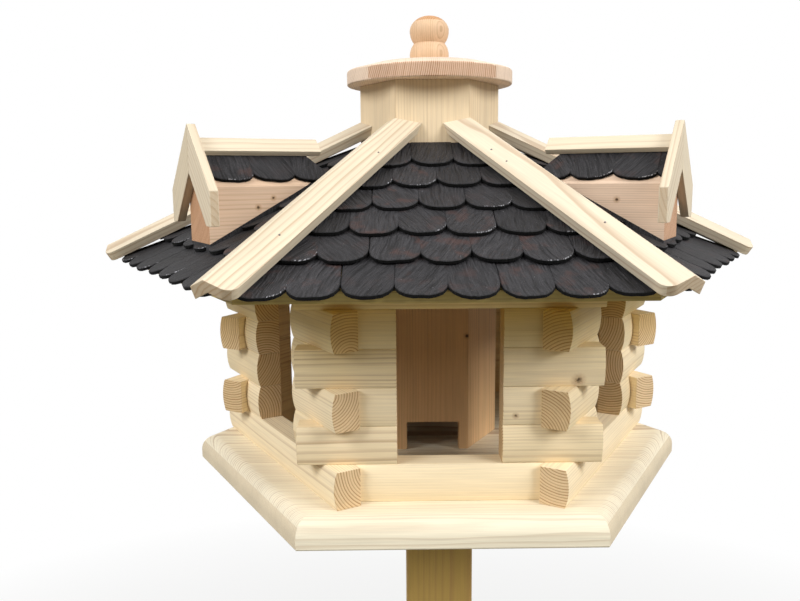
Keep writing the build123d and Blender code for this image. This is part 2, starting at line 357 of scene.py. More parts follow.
def attribute(tree, name, output="Fac"):
    """What a mesh says of itself under a name."""
    return place(tree, "ShaderNodeAttribute", attribute_name=name).outputs[output]


def solid(colour):
    """A colour with its opacity."""
    return (*colour, 1.0)


def object_place(tree):
    """The place of each point in its object."""
    return place(tree, "ShaderNodeTexCoord").outputs["Object"]


def new_material(name):
    """A material, its tree and its shader."""
    material = bpy.data.materials.new(name)
    material.use_nodes = True
    return material, material.node_tree, material.node_tree.nodes["Principled BSDF"]


def relief(tree, height, depth):
    """Normals of a surface that is uneven by a depth."""
    return place(tree, "ShaderNodeBump", {"Height": height, "Distance": depth, "Strength": 1.0}).outputs[0]


def connect(tree, shader, colour, roughness, normal=None):
    """Feeds the shader's inputs."""
    tree.links.new(colour, shader.inputs["Base Color"])
    tree.links.new(roughness, shader.inputs["Roughness"])
    if normal:
        tree.links.new(normal, shader.inputs["Normal"])


def softwood_group():
    """Growth rings round the pith, fibres along the grain and the difference between boards."""
    tree = bpy.data.node_groups.new("Softwood", "ShaderNodeTree")
    for label in ("Grain", "Tone", "End", "Figure", "Pale", "Late", "Spacing", "Strength", "Wobble"):
        kind = {"Grain": "Vector", "Pale": "Color", "Late": "Color"}.get(label, "Float")
        tree.interface.new_socket(label, in_out="INPUT", socket_type="NodeSocket" + kind)
    for label, kind in (("Color", "Color"), ("Height", "Float"), ("Rough", "Float")):
        tree.interface.new_socket(label, in_out="OUTPUT", socket_type="NodeSocket" + kind)
    given = tree.nodes.new("NodeGroupInput").outputs
    result = tree.nodes.new("NodeGroupOutput").inputs
    drawn_out = stretched(tree, given["Grain"], (0.14, 1, 1))
    axes = place(tree, "ShaderNodeSeparateXYZ", {0: given["Grain"]}).outputs
    squares = [maths(tree, "MULTIPLY", axis, axis) for axis in axes[1:]]
    drift = maths(tree, "SUBTRACT", noise(tree, drawn_out, 22, 3), 0.5)
    distance = maths(tree, "SQRT", maths(tree, "ADD", *squares))
    radius = maths(tree, "ADD", distance, maths(tree, "MULTIPLY", drift, given["Wobble"]))
    years = maths(tree, "DIVIDE", radius, given["Spacing"])
    ramp = place(tree, "ShaderNodeValToRGB", {0: maths(tree, "FRACT", years)})
    stops = ramp.color_ramp.elements
    for position in (0.5, 0.86, 0.95):
        stops.new(position)
    for stop, value in zip(stops, (0.1, 0.1, 1.0, 0.85, 0.1)):
        stop.color = (value, value, value, 1)
    year = {"W": maths(tree, "FLOOR", years)}
    rank = place(tree, "ShaderNodeTexWhiteNoise", year, noise_dimensions="1D").outputs["Value"]
    weakest = spread(tree, given["End"], 0, 1, 0.25, 0.6)
    late = maths(tree, "MULTIPLY", ramp.outputs[0], spread(tree, rank, 0, 1, weakest, 1.0))
    faces_show = spread(tree, given["Figure"], 0, 1, 0.35, 1.7)
    ends_show = spread(tree, given["Figure"], 0, 1, 0.6, 2.6)
    figure_force = spread(tree, given["End"], 0, 1, faces_show, ends_show)
    force = maths(tree, "MULTIPLY", late, given["Strength"], figure_force)
    fibre = noise(tree, stretched(tree, given["Grain"], (22, 1100, 1100)), 1.0, 2)
    patch = noise(tree, drawn_out, 34, 3, 0.6)
    coloured = blended(tree, maths(tree, "MINIMUM", force, 1.0), given["Pale"], given["Late"])
    lightness = maths(
        tree,
        "ADD",
        spread(tree, fibre, 0.3, 0.7, -0.06, 0.05),
        spread(tree, patch, 0.3, 0.7, -0.07, 0.05),
        spread(tree, given["Tone"], 0, 1, 0.93, 1.05),
    )
    richness = spread(tree, given["Tone"], 0, 1, 1.08, 0.94)
    changes = {
        "Hue": spread(tree, given["End"], 0, 1, 0.5, 0.49),
        "Saturation": maths(tree, "ADD", richness, maths(tree, "MULTIPLY", given["End"], 0.26)),
        "Value": maths(tree, "MULTIPLY", lightness, spread(tree, given["End"], 0, 1, 1.0, 0.86)),
        "Color": coloured,
    }
    tree.links.new(place(tree, "ShaderNodeHueSaturation", changes).outputs[0], result["Color"])
    height = maths(tree, "ADD", maths(tree, "MULTIPLY", late, -0.5), maths(tree, "MULTIPLY", fibre, 0.5))
    tree.links.new(height, result["Height"])
    tree.links.new(spread(tree, fibre, 0.3, 0.7, 0.52, 0.7), result["Rough"])
    return tree


def shade_ramp(tree, plain_height, shaded_height):
    """Share of painted shade: 0 at one height and 1 at the other, with an uneven edge that follows the
    wood.
    """
    spot = object_place(tree)
    height = place(tree, "ShaderNodeSeparateXYZ", {0: spot}).outputs[2]
    uneven = maths(tree, "MULTIPLY", maths(tree, "SUBTRACT", noise(tree, spot, 14, 2), 0.5), 0.05)
    return spread(tree, maths(tree, "ADD", height, uneven), plain_height, shaded_height)


def knotted(tree, colour, spots):
    """Dark knots at the given places, each a point and a radius."""
    spot = object_place(tree)
    for point, radius in spots:
        away = vector_maths(tree, "DISTANCE", spot, point)["Value"]
        uneven = maths(tree, "MULTIPLY", noise(tree, spot, 600, 2), radius * 0.8)
        distance = maths(tree, "ADD", away, uneven)
        halo = spread(tree, distance, radius, radius * 2.2, 0.55, 0)
        heart = spread(tree, distance, radius * 0.7, radius * 1.2, 0.9, 0)
        colour = blended(tree, halo, colour, (0.42, 0.22, 0.08, 1))
        colour = blended(tree, heart, colour, (0.05, 0.022, 0.01, 1))
    return colour


def timber(name, colour, strength, spacing, wobble, painted_shade=None):
    """Timber whose rings follow the pieces' grain attribute, with painted shade: a darker, yellower colour
    that takes over between two heights, under the roof.
    """
    wood = bpy.context.scene.feeder_timber
    material, tree, shader = new_material("dressed_" + name)
    pale = solid(colour)
    # painted shade: the plain colour gives way to a darker, yellower one between two heights
    if painted_shade:
        shade_tint, plain_height, shaded_height = painted_shade
        pale = blended(tree, shade_ramp(tree, plain_height, shaded_height), pale, solid(shade_tint))
    sockets = {
        "Grain": attribute(tree, "grain", "Vector"),
        "Tone": attribute(tree, "tone"),
        "End": attribute(tree, "end"),
        "Figure": attribute(tree, "figure"),
        "Pale": pale,
        "Late": solid(wood.late_colour),
        "Spacing": wood.ring_spacing * spacing,
        "Strength": strength,
        "Wobble": wobble,
    }
    group = bpy.data.node_groups.get("Softwood") or softwood_group()
    rings = place(tree, "ShaderNodeGroup", sockets, node_tree=group).outputs
    coloured = knotted(tree, rings["Color"], KNOTS.get(name, ()))
    connect(tree, shader, coloured, rings["Rough"], relief(tree, rings["Height"], FIBRE_DEPTH))
    shader.inputs["Specular IOR Level"].default_value = 0.3
    return material


def stained_shingle(name):
    """Black stained shingle, split along the grain, with worn brown patches, pale specks and painted glints
    on the rims of some.
    """
    roof = bpy.context.scene.feeder_roof
    material, tree, shader = new_material("dressed_" + name)
    grain = attribute(tree, "grain", "Vector")
    tone = attribute(tree, "tone")
    bend = noise(tree, grain, 24.0, 1.0, output="Color")
    waved = vector_maths(tree, "ADD", grain, stretched(tree, bend, (0.007, 0.0, 0.0)))[0]
    groove = noise(tree, stretched(tree, waved, (900, 55, 250)), 1.0, 3, 0.65)
    split = noise(tree, stretched(tree, waved, (520, 24, 90)), 1.0, 2, 0.5)
    patch = noise(tree, grain, 55, 3, 0.6)
    grit = noise(tree, grain, 1300, 1)
    fleck = noise(tree, stretched(tree, grain, (900, 420, 600)), 1.0, 1, 0.5)
    # painted highlights: pale glints on the bevelled rims near the foot, joined with the pale specks
    glints = maths(tree, "MULTIPLY", attribute(tree, "glint"), spread(tree, fleck, 0.5, 0.66))
    flecks = maths(tree, "MAXIMUM", spread(tree, fleck, 0.77, 0.82, 0.0, 0.6), glints)
    patches = spread(tree, patch, 0.54, 0.68, 0.0, 0.5)
    brown = maths(tree, "MULTIPLY", patches, spread(tree, tone, 0.35, 0.9))
    shade = maths(
        tree,
        "MULTIPLY",
        spread(tree, groove, 0.3, 0.7, 0.4, 1.6),
        spread(tree, grit, 0.3, 0.7, 0.65, 1.35),
        spread(tree, split, 0.34, 0.44, 0.55, 1.0),
        spread(tree, tone, 0, 1, 0.85, 1.3),
    )
    stain = {"Value": shade, "Color": solid(roof.colour)}
    stained = place(tree, "ShaderNodeHueSaturation", stain).outputs[0]
    worn = blended(tree, brown, stained, (0.09, 0.046, 0.038, 1))
    # pale specks, and painted highlights where the glints are
    flecked_and_glinting = blended(tree, flecks, worn, (0.36, 0.36, 0.38, 1))
    under = spread(tree, attribute(tree, "rim"), 0.55, 1.0)
    edged = blended(tree, under, flecked_and_glinting, (0.002, 0.002, 0.002, 1))
    height = maths(tree, "ADD", groove, maths(tree, "MULTIPLY", split, 1.8))
    rough = maths(tree, "MAXIMUM", under, spread(tree, groove, 0.3, 0.7, 0.5, 0.75))
    connect(tree, shader, edged, rough, relief(tree, height, SPLIT_DEPTH))
    shader.inputs["Specular IOR Level"].default_value = 0.2
    return material


def nail_steel():
    """Dull grey steel with spots of rust."""
    material, tree, shader = new_material("nail_steel")
    rust = spread(tree, noise(tree, object_place(tree), 900, 2), 0.4, 0.65)
    colour = blended(tree, rust, (0.2, 0.2, 0.23, 1), (0.1, 0.05, 0.03, 1))
    connect(tree, shader, colour, spread(tree, rust, 0, 1, 0.4, 0.8))
    shader.inputs["Metallic"].default_value = 0.6
    return material


def finish(name):
    """A finish by its slot's name, each made once."""
    made = bpy.data.materials.get("dressed_" + name)
    if made:
        return made
    wood = bpy.context.scene.feeder_timber
    # colour, strength of the rings, their width as a share of the usual one, their wobble, and the painted
    # shade under the roof: its colour, the height where the wood shows plain and the height where it is
    # wholly shaded
    recipes = {
        "post_pine": (wood.post_colour, 0.5, 2.2, 0.006),
        "base_pine": (wood.base_colour, 0.34, 1.0, 0.009),
        "log_pine": (wood.log_colour, 0.34, 1.2, 0.004, (wood.logs_in_shade_colour, FLOOR + 0.1, FLOOR + 0.19)),
        "silo_pine": (wood.chimney_colour, 0.5, 1.1, 0.005, (wood.silo_in_shade_colour, FLOOR + 0.3, FLOOR + 0.27)),
        "batten_pine": (wood.batten_colour, 0.36, 1.9, 0.014),
        "dormer_wood": (wood.dormer_colour, 0.45, 0.9, 0.004),
        "lid_pine": (wood.lid_colour, 0.4, 0.9, 0.004),
        "knob_wood": (wood.knob_colour, 0.3, 1.0, 0.003),
    }
    return timber(name, *recipes[name]) if name in recipes else stained_shingle(name)


def middle_of(part):
    """The middle of some vertices."""
    return sum((v.co for v in part), Vector()) / len(part)


def boards(bm):
    """The vertices of each separate board in a mesh."""
    bm.verts.index_update()
    waiting = set(bm.verts)
    while waiting:
        part = set()
        edge_of_part = [min(waiting, key=lambda v: v.index)]
        while edge_of_part:
            vert = edge_of_part.pop()
            if vert not in part:
                part.add(vert)
                edge_of_part += [e.other_vert(vert) for e in vert.link_edges]
        waiting -= part
        yield part


def lay_grain(bm, seed, along, pith=(0.02, 0.06), angles=(0, 360), marked=None, marked_end=1.0):
    """Writes on each board the place of its points in its own tree: along the pith, and across from it.

    along is one direction for all boards, or finds each board's. pith is the range of the distances from
    a board's middle to its tree's, angles the range of the directions. marked and marked_end tell how
    much of its rings a board shows, 0 to 1.
    """
    rng = random.Random(seed)
    grain = bm.verts.layers.float_vector.new("grain")
    tone = bm.verts.layers.float.new("tone")
    figure = bm.verts.layers.float.new("figure")
    end = bm.faces.layers.float.new("end")
    bm.normal_update()
    for part in boards(bm):
        length = along(part) if callable(along) else along
        side = length.cross(UP if abs(length.z) < 0.9 else TO_BACK).normalized()
        top = side.cross(length).normalized()
        angle = radians(rng.uniform(*angles))
        distance = rng.uniform(*pith)
        tree_middle = middle_of(part) + side * distance * cos(angle) + top * distance * sin(angle)
        shift = rng.uniform(0, 40)
        board_tone = rng.random()
        board_figure = rng.random() ** 1.5 if marked is None else marked
        for vert in part:
            away = vert.co - tree_middle
            vert[grain] = (away.dot(length) + shift, away.dot(side), away.dot(top))
            vert[tone] = board_tone
            vert[figure] = board_figure
        for face in {face for vert in part for face in vert.link_faces}:
            face[end] = 1.0 if abs(face.normal.dot(length)) > 0.7 else 0.0
            if face[end]:
                for vert in face.verts:
                    vert[figure] = marked_end


def mesh_of(bm, name):
    """Turns a working mesh into a mesh of the scene."""
    mesh = bpy.data.meshes.new(name)
    bm.to_mesh(mesh)
    bm.free()
    return mesh


def added(name, data):
    """A new object in the scene."""
    made = bpy.data.objects.new(name, data)
    bpy.context.scene.collection.objects.link(made)
    return made


def merged_copy(node):
    """A copy of a node's mesh with its triangles joined to whole faces."""
    bm = bmesh.new()
    bm.from_mesh(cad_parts[node].data)
    bmesh.ops.remove_doubles(bm, verts=bm.verts, dist=0.00002)
    bmesh.ops.dissolve_limit(bm, angle_limit=radians(0.6), verts=bm.verts, edges=bm.edges)
    return bm


def round_off(bm, geometry, size, segments, affect="EDGES"):
    """Rounds edges, or the corners of a flat mesh."""
    bmesh.ops.bevel(
        bm,
        geom=geometry,
        offset=size,
        segments=segments,
        profile=0.5,
        affect=affect,
        material=-1,
        clamp_overlap=True,
    )


def ease_edges(bm, radius, segments=2):
    """Rounds the sharp edges."""
    sharp = [e for e in bm.edges if len(e.link_faces) == 2 and e.calc_face_angle(0) > EASED_FROM]
    round_off(bm, sharp, radius, segments)


def finished(bm, name, slot, body=STAND, nodes=(), sharper_than=40):
    """Turns a mesh into a piece that rides on a body and stands for nodes."""
    for face in bm.faces:
        face.smooth = True
    for edge in bm.edges:
        edge.smooth = len(edge.link_faces) != 2 or edge.calc_face_angle(0) < radians(sharper_than)
    mesh = mesh_of(bm, name)
    mesh.materials.append(finish(slot))
    piece = added(name, mesh)
    weighted = piece.modifiers.new("even_faces", "WEIGHTED_NORMAL")
    weighted.keep_sharp = True
    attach(piece, body)
    if nodes:
        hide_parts(*nodes)
    return piece


def timber_copy(node, along, slot, body=STAND, edge=None, segments=2, **grain):
    """Eased copy of a timber node, each of its boards with its own grain."""
    wood = bpy.context.scene.feeder_timber
    bm = merged_copy(node)
    ease_edges(bm, edge or wood.edge_radius, segments)
    lay_grain(bm, node, along, **grain)
    return finished(bm, node + "_timber", slot, body, [node])


def split_by(bm, point, normal, clear_outer=False):
    """Cuts a mesh along a plane."""
    geometry = bm.verts[:] + bm.edges[:] + bm.faces[:]
    bmesh.ops.bisect_plane(bm, geom=geometry, plane_co=point, plane_no=normal, clear_outer=clear_outer)


def cut_off(bm, point, normal):
    """Cuts away what lies beyond a plane, and closes the cut."""
    split_by(bm, point, normal, clear_outer=True)
    bmesh.ops.holes_fill(bm, edges=[e for e in bm.edges if e.is_boundary])


class FEEDER_OT_post_and_base(Operator):
    """Dress the post and the base board"""

    bl_idname = "feeder.post_and_base"
    bl_label = "Post and Base"

    corner_round: length_setting(
        "Corner Rounding", "Rounding of the board's corners, seen from above", 0.007
    )
    flat_reach: length_setting("Flat Reach", "How far out from the middle the top is flat", 0.2)

    def execute(self, context):
        timber_copy("post", UP, "post_pine", pith=(0.02, 0.03))
        self.base_board()
        return {"FINISHED"}

    def base_board(self):
        bm = merged_copy("base_board")
        mitres = [e for e in bm.edges if all(self.at_corner(v.co) for v in e.verts)]
        round_off(bm, mitres, self.corner_round, 4)
        grain = {"pith": (0.11, 0.12), "angles": (262, 266), "marked": 1.0, "marked_end": 0.1}
        lay_grain(bm, "base_board", TO_RIGHT, **grain)
        finished(bm, "base_board_timber", "base_pine", nodes=["base_board"], sharper_than=50)

    def at_corner(self, spot):
        """Whether a point lies over one of the six corners, outside the flat top."""
        if Vector((spot.x, spot.y)).length < self.flat_reach:
            return False
        return min(abs(spot.dot(sideways(hip))) for hip in HIPS.values()) < 4 * TINY


class FEEDER_OT_walls(Operator):
    """Dress the strips of the six log walls"""

    bl_idname = "feeder.walls"
    bl_label = "Log Walls"

    def execute(self, context):
        for side, azimuth in SIDES.items():
            for courses in ("odd", "even"):
                node = f"{side}_wall_{courses}_logs"
                timber_copy(node, sideways(azimuth), "log_pine", pith=(0.018, 0.05))
        return {"FINISHED"}


class FEEDER_OT_silo(Operator):
    """Dress the boards of the silo"""

    bl_idname = "feeder.silo"
    bl_label = "Silo"

    def execute(self, context):
        for side in SIDES:
            timber_copy("silo_board_" + side, UP, "silo_pine", pith=(0.05, 0.09))
        return {"FINISHED"}


class FEEDER_OT_roof_boards(Operator):
    """Cut the boards under the shingles out of the roof panels"""

    bl_idname = "feeder.roof_boards"
    bl_label = "Roof Boards"

    board_depth: length_setting("Board Depth", "Depth under the lower ends of the shingles", 0.0091)

    def execute(self, context):
        depth = TIP_DEPTH + self.board_depth
        for side, azimuth in SIDES.items():
            node = "roof_" + side
            bm = merged_copy(node)
            on_top = AXIS + outward(azimuth) * SILO_FACE + UP * roof_height(SILO_FACE, depth)
            cut_off(bm, on_top, roof_normal(azimuth))
            bmesh.ops.recalc_face_normals(bm, faces=bm.faces)
            lay_grain(bm, node, sideways(azimuth), pith=(0.05, 0.1), angles=(60, 120))
            finished(bm, node + "_board", "log_pine")
        return {"FINISHED"}


def shingle(width, length, thick, stretch, rng):
    """One shingle, its lower end at 0 and its top face at height 0, with Y up the slope."""
    bm = bmesh.new()
    bmesh.ops.create_grid(bm, x_segments=1, y_segments=1, size=0.5)
    bmesh.ops.scale(bm, vec=(width, length / stretch, 1), verts=bm.verts)
    bmesh.ops.translate(bm, vec=(0, length / stretch / 2, 0), verts=bm.verts)
    tips = [v for v in bm.verts if v.co.y < TINY]
    corner = bpy.context.scene.feeder_roof.corner
    round_off(bm, tips, corner * rng.uniform(0.88, 1.1), 4, "VERTICES")
    bmesh.ops.scale(bm, vec=(1, stretch, 1), verts=bm.verts)
    foot = [e for e in bm.edges if max(v.co.y for v in e.verts) < TINY]
    bmesh.ops.subdivide_edges(bm, edges=foot, cuts=2)
    bulge = SAG * rng.uniform(0.2, 1.6)
    lean = rng.uniform(-LEAN, LEAN)
    for vert in bm.verts:
        share = 1 - vert.co.y / length
        across = 2 * vert.co.x / width
        vert.co.y += share * (lean * across + bulge * across**2 + rng.uniform(-RIPPLE, RIPPLE))
    under = bmesh.ops.extrude_face_region(bm, geom=bm.faces[:])
    for vert in under["geom"]:
        if isinstance(vert, bmesh.types.BMVert):
            vert.co.z -= thick * (1 - THINNING * vert.co.y / length)
    bmesh.ops.recalc_face_normals(bm, faces=bm.faces)
    rims = []
    for edge in bm.edges:
        on_top = all(v.co.z > -TINY for v in edge.verts)
        if on_top and min(v.co.y for v in edge.verts) < length * 0.9:
            rims.append(edge)
    round_off(bm, rims, RIM, 1)
    write_shingle_grain(bm, rng)
    return bm


def write_shingle_grain(bm, rng):
    """Own coordinates, tone, a mask that is 0 on the top face and 1 on the edge and below, and on some
    shingles a mask of painted glints.
    """
    grain = bm.verts.layers.float_vector.new("grain")
    tone = bm.verts.layers.float.new("tone")
    rim = bm.verts.layers.float.new("rim")
    glint = bm.faces.layers.float.new("glint")
    shift = Vector([rng.uniform(0, 9) for _ in range(3)])
    shingle_tone = rng.random()
    turn = Matrix.Rotation(rng.gauss(0, GRAIN_TURN), 3, "Z")
    for vert in bm.verts:
        vert[grain] = turn @ vert.co + shift
        vert[tone] = shingle_tone
        vert[rim] = 0.0 if vert.co.z > -TINY else 1.0
    # painted glints: bevelled rim faces near the foot, right of a random place, get a pale colour
    if rng.random() < GLINTING:
        from_left = rng.uniform(-0.008, 0.014)
        for face in bm.faces:
            spot = face.calc_center_median()
            bevelled = 0.2 < face.normal.z < 0.95
            face[glint] = 1.0 if bevelled and from_left < spot.x and spot.y < GLINT_REACH else 0.0


def lay_shingle(piece, foot, uphill, normal, slip, turn):
    """Puts a shingle on its slope, slipped and turned a little out of line."""
    to_face = Matrix((uphill.cross(normal), uphill, normal)).transposed().to_4x4()
    laid = Matrix.Translation(foot) @ to_face @ Matrix.Translation(slip) @ turn
    bmesh.ops.transform(piece, matrix=laid, verts=piece.verts)


def add_to(whole, part):
    """Appends one mesh to another."""
    carrier = mesh_of(part, "carrier")
    whole.from_mesh(carrier)
    bpy.data.meshes.remove(carrier)


class FEEDER_OT_shingles(Operator):
    """Lay the rows of shingles on the six roof faces"""

    bl_idname = "feeder.shingles"
    bl_label = "Roof Shingles"

    clearance: length_setting("Clearance", "Depth of the shingles under the panels' tips", 0.0002)
    hip_gap: length_setting("Hip Gap", "Gap between the shingles of two faces", 0.0015)
    corner_cut: length_setting("Corner Cut", "Where the roof's corners are cut off, along the hip", 0.322)

    def row(self, azimuth, course, rng, whole):
        roof = bpy.context.scene.feeder_roof
        reach = EAVE
        covered = roof.first_course
        width = roof.eave_width
        if course:
            reach = EAVE - roof.first_course - (course - 1) * roof.course
            covered = roof.course
            width = roof.shingle_width
        start = 0.0 if course % 2 else 0.5
        length = covered / cos(ROOF_ANGLE) * LENGTH_SHARE
        if course == roof.courses - 1:
            length = (reach - SILO_FACE) / cos(ROOF_ANGLE) + TUCKED_IN
        tilt = atan(roof.lap * cos(ROOF_ANGLE) / roof.course)
        half = (reach + 0.01) * tan(HALF_SIDE)
        uphill = UP * sin(ROOF_ANGLE) - outward(azimuth) * cos(ROOF_ANGLE)
        normal = roof_normal(azimuth)
        first = -int(half / width) - 1
        for number in range(first, -first + 1):
            middle = (number + start) * width + ROW_SHIFTS[course % len(ROW_SHIFTS)]
            if abs(middle) - width / 2 > half:
                continue
            thick = roof.shingle_thick * rng.uniform(0.9, 1.08)
            piece = shingle(width + OVERLAP, length, thick, roof.corner_stretch, rng)
            foot = AXIS + outward(azimuth) * reach + uphill.cross(normal) * middle
            foot.z = roof_height(reach, TIP_DEPTH + self.clearance)
            sway = Matrix.Rotation(rng.gauss(0, SWAY), 4, "Z")
            lift = Matrix.Rotation(-tilt + rng.uniform(*TILTS), 4, "X")
            slip = Vector((rng.gauss(0, SLIP_ACROSS), rng.uniform(*SLIPS_UP), rng.uniform(*SLIPS_IN)))
            lay_shingle(piece, foot, uphill, normal, slip, lift @ sway)
            for hand in (-1, 1):
                hip = azimuth + 30 * hand
                away = sideways(hip) * hand
                cut_off(piece, AXIS - away * self.hip_gap, away)
                cut_off(piece, AXIS + outward(hip) * self.corner_cut, outward(hip))
            cut_off(piece, AXIS + outward(azimuth) * (SILO_FACE + 0.0003), -outward(azimuth))
            add_to(whole, piece)

    def execute(self, context):
        roof = context.scene.feeder_roof
        for side, azimuth in SIDES.items():
            rng = random.Random("shingles " + side)
            whole = bmesh.new()
            for course in range(roof.courses):
                self.row(azimuth, course, rng, whole)
            finished(whole, "shingles_" + side, "shingle_stain", nodes=["roof_" + side])
        return {"FINISHED"}


class FEEDER_OT_hip_battens(Operator):
    """Dress the battens over the hips"""

    bl_idname = "feeder.hip_battens"
    bl_label = "Hip Battens"

    fold: angle_setting("Fold", "Slope of the wings away from the crest", radians(24))
    nail_radius: length_setting("Nail Radius", "Radius of a nail head", 0.0011)
    nail_depth: length_setting("Nail Depth", "Thickness of a nail head, half of it sunk in", 0.0008)

    def execute(self, context):
        grain = {"pith": (0.03, 0.06), "angles": (225, 315), "marked": 0.75, "marked_end": 0.3}
        for corner, azimuth in HIPS.items():
            timber_copy("hip_batten_" + corner, hip_line(azimuth), "batten_pine", **grain)
        self.nails()
        return {"FINISHED"}

    def nails(self):
        """Small nail heads, sunk in the wide wings of the hip battens."""
        whole = bmesh.new()
        for corner, (wide_side, spots) in NAILS.items():
            azimuth = HIPS[corner]
            wide = sideways(azimuth) * wide_side
            crest = hip_line(azimuth).cross(wide) * wide_side
            wing = wide * cos(self.fold) - crest * sin(self.fold)
            up = crest * cos(self.fold) + wide * sin(self.fold)
            turn = up.to_track_quat("Z", "Y").to_matrix().to_4x4()
            for reach, across in spots:
                spot = AXIS + outward(azimuth) * reach + wing * across
                spot.z += hip_foot.z + (hip_foot.x - reach) * HIP_DROP
                head = bmesh.new()
                radii = {"radius1": self.nail_radius, "radius2": self.nail_radius * 0.7}
                bmesh.ops.create_cone(head, cap_ends=True, segments=10, depth=self.nail_depth, **radii)
                bmesh.ops.transform(head, matrix=Matrix.Translation(spot) @ turn, verts=head.verts)
                add_to(whole, head)
        piece = finished(whole, "batten_nails", "batten_pine")
        piece.data.materials[0] = nail_steel()


class FEEDER_OT_dormers(Operator):
    """Dress the two dormers and lay their shingles"""

    bl_idname = "feeder.dormers"
    bl_label = "Dormers"

    shingle_count: IntProperty(
        name="Shingles", description="Shingles on each slope of a dormer", default=3, min=1
    )
    shingle_pitch: length_setting("Shingle Pitch", "Distance between two shingles along the ridge", 0.0393)
    ridge_end: length_setting("Ridge End", "How far from the silo's axis the ridge ends", 0.149)
    end_slant: number_setting(
        "End Slant", "How much nearer to the axis the slopes end for each metre down from the ridge", 0.92
    )
    corner_share: number_setting(
        "Corner Share", "Height of the dormer shingles' corners as a share of the roof's", 0.46
    )
    stain_above: length_setting("Stain Above", "How far over the shingles the stain reaches", 0.001)

    def execute(self, context):
        for name, azimuth in DORMERS.items():
            self.block(name, azimuth)
            timber_copy(name + "_ridge_batten", outward(azimuth), "batten_pine", pith=(0.03, 0.05))

            def rafter(part, azimuth=azimuth):
                hand = 1 if (middle_of(part) - AXIS).dot(sideways(azimuth)) > 0 else -1
                return (sideways(azimuth) * hand - UP).normalized()

            timber_copy(name + "_barge_boards", rafter, "batten_pine", pith=(0.03, 0.05), marked_end=0.1)
            self.slopes(name, azimuth)
        return {"FINISHED"}

    def inner_cut(self, bm, azimuth, hand):
        """Keeps the half of a dormer on one hand, its inner end cut on a slant."""
        cut_off(bm, AXIS, -sideways(azimuth) * hand)
        inner_end = AXIS + outward(azimuth) * self.ridge_end
        cut_off(bm, inner_end, -outward(azimuth) - sideways(azimuth) * hand * self.end_slant)

    def block(self, name, azimuth):
        """The block under the slopes, in two halves that the ridge parts."""
        wood = bpy.context.scene.feeder_timber
        whole = bmesh.new()
        for hand in (-1, 1):
            bm = merged_copy(name + "_block")
            ease_edges(bm, wood.edge_radius)
            lay_grain(bm, name, outward(azimuth), pith=(0.05, 0.07), angles=(30, 60), marked=0.5)
            self.inner_cut(bm, azimuth, hand)
            self.stained_foot(bm, azimuth)
            add_to(whole, bm)
        piece = finished(whole, name + "_block_timber", "dormer_wood", nodes=[name + "_block"])
        piece.data.materials.append(finish("shingle_stain"))

    def stained_foot(self, bm, azimuth):
        """Marks what lies below the top of the roof's shingles, which was stained with them."""
        foot = AXIS + outward(azimuth) * EAVE
        foot.z = roof_height(EAVE, TIP_DEPTH - self.stain_above)
        normal = roof_normal(azimuth)
        split_by(bm, foot, normal)
        for face in bm.faces:
            if (face.calc_center_median() - foot).dot(normal) < 0:
                face.material_index = 1

    def slopes(self, name, azimuth):
        """The shingles of both slopes."""
        node = name + "_shingles"
        roof = bpy.context.scene.feeder_roof
        rng = random.Random(node)
        corners = points(node)
        ridge_top = max(p.z for p in corners)
        gable = max(p.dot(outward(azimuth)) for p in corners)
        eave_side = max(p.dot(sideways(azimuth)) for p in corners)
        length = eave_side * sqrt(2)
        stretch = roof.corner_stretch * self.corner_share
        whole = bmesh.new()
        for hand in (-1, 1):
            uphill = (UP - sideways(azimuth) * hand).normalized()
            normal = (UP + sideways(azimuth) * hand).normalized()
            for number in range(-1, self.shingle_count):
                piece = shingle(self.shingle_pitch + OVERLAP, length, roof.shingle_thick, stretch, rng)
                from_gable = DORMER_STARTS[name] + (number + 0.5) * self.shingle_pitch
                foot = AXIS + outward(azimuth) * (gable - from_gable)
                foot += sideways(azimuth) * hand * eave_side
                foot.z = ridge_top - eave_side
                sway = Matrix.Rotation(rng.uniform(*DORMER_SWAYS), 4, "Z")
                slip = Vector((0, rng.uniform(*DORMER_SLIPS_UP), rng.uniform(*DORMER_SLIPS_IN)))
                lay_shingle(piece, foot, uphill, normal, slip, sway)
                self.inner_cut(piece, azimuth, hand)
                cut_off(piece, AXIS + outward(azimuth) * gable, outward(azimuth))
                add_to(whole, piece)
        finished(whole, node + "_laid", "shingle_stain", nodes=[node])


